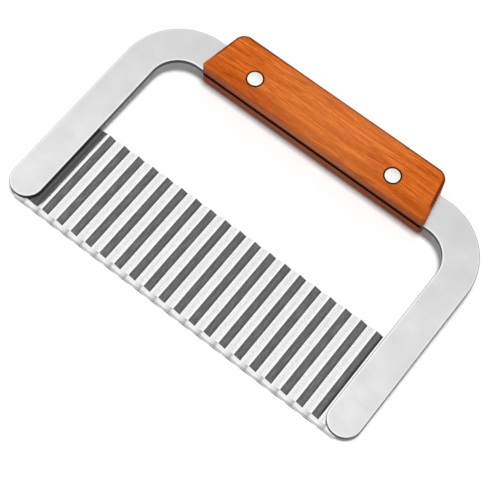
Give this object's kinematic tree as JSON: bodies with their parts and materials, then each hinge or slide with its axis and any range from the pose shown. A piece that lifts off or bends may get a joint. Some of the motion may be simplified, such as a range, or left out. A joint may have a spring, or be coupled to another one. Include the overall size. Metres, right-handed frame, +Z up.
{
  "type": "soap cutter",
  "caption": "Hand cutter for soap bars: a corrugated steel blade across the legs of a flat U-shaped steel bow, with a wooden handle slotted over its bridge and riveted.",
  "frame": {"origin": "middle of the bounding box, on the surface that the cutter lies on, handle side and cutting edge both touching it", "axes": "+X along the blade to the right as the front is seen with the handle up, +Y from the cutting edge towards the handle, +Z up out of the front; the bow's plate leans 2.8 degrees from the XY plane, because the cutter rests on its cutting edge and the lower back edge of the handle"},
  "size_m": [0.1852, 0.1216, 0.016],
  "materials": {
    "plate_steel": "satin stainless steel with broken edges",
    "blade_steel": "bright stainless steel sheet with a ground edge",
    "handle_wood": "lacquered reddish hardwood, grain along the handle",
    "rivet_metal": "polished"
  },
  "bodies": {
    "root": {"bow": "plate_steel", "blade": "blade_steel", "handle": "handle_wood", "left_rivet_post": "rivet_metal", "right_rivet_post": "rivet_metal", "left_rivet_sleeve": "rivet_metal", "right_rivet_sleeve": "rivet_metal"}
  },
  "joints": []
}
